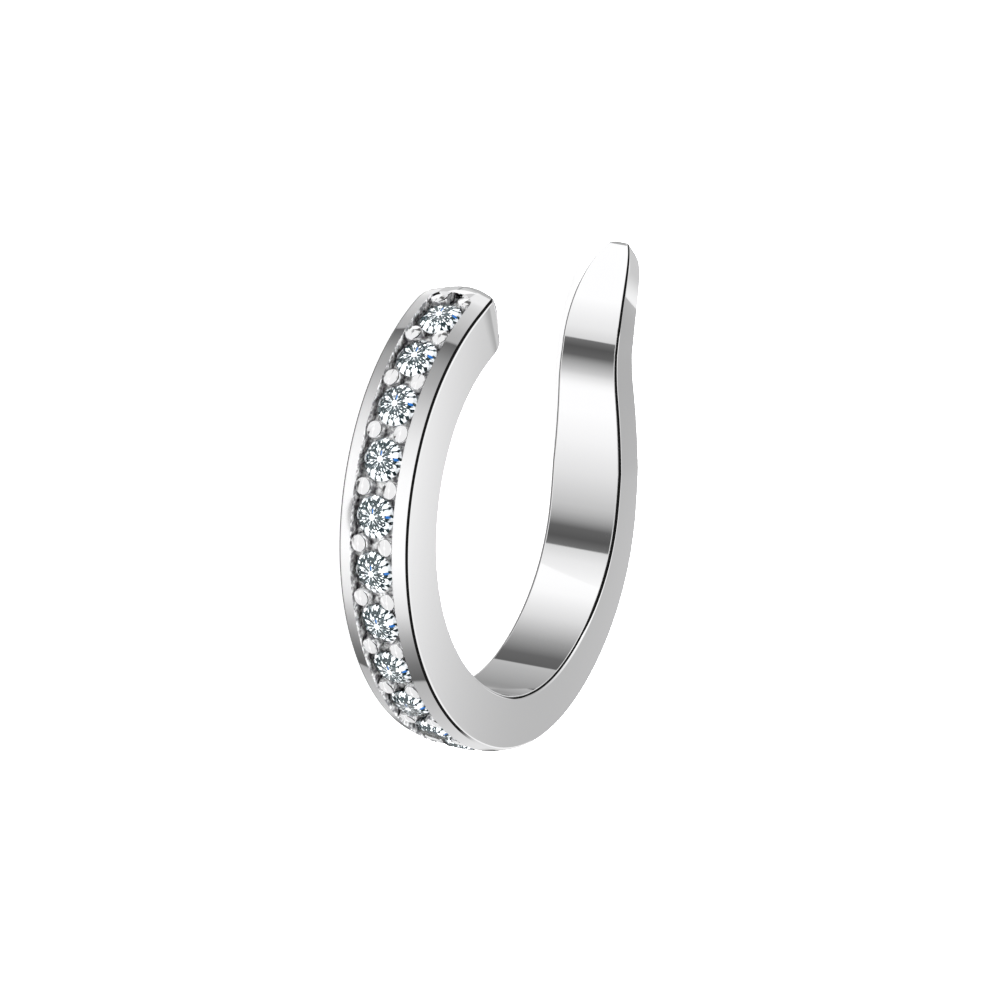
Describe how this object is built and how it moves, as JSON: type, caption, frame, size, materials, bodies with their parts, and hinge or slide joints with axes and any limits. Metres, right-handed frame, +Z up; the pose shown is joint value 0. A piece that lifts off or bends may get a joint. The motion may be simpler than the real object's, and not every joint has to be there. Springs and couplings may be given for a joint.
{
  "type": "clip-on ear cuff",
  "caption": "Open hoop of polished silver that clips on the ear, its front leg set with a row of round clear stones in a channel.",
  "frame": {"origin": "middle of the hoop's outline, on the side face that the cuff lies on", "axes": "+Z up, across the band's width, so the hoop's plane is level; the stones face -Y and the mouth of the hoop opens towards -X"},
  "size_m": [0.0124, 0.0121, 0.0021],
  "materials": {
    "polished_silver": "mirror polished",
    "clear_stone": "faceted, clear"
  },
  "bodies": {
    "root": {"cuff_band": "polished_silver", "stone_01": "clear_stone", "stone_02": "clear_stone", "stone_03": "clear_stone", "stone_04": "clear_stone", "stone_05": "clear_stone", "stone_06": "clear_stone", "stone_07": "clear_stone", "stone_08": "clear_stone", "stone_09": "clear_stone", "stone_10": "clear_stone", "stone_11": "clear_stone"}
  },
  "joints": []
}
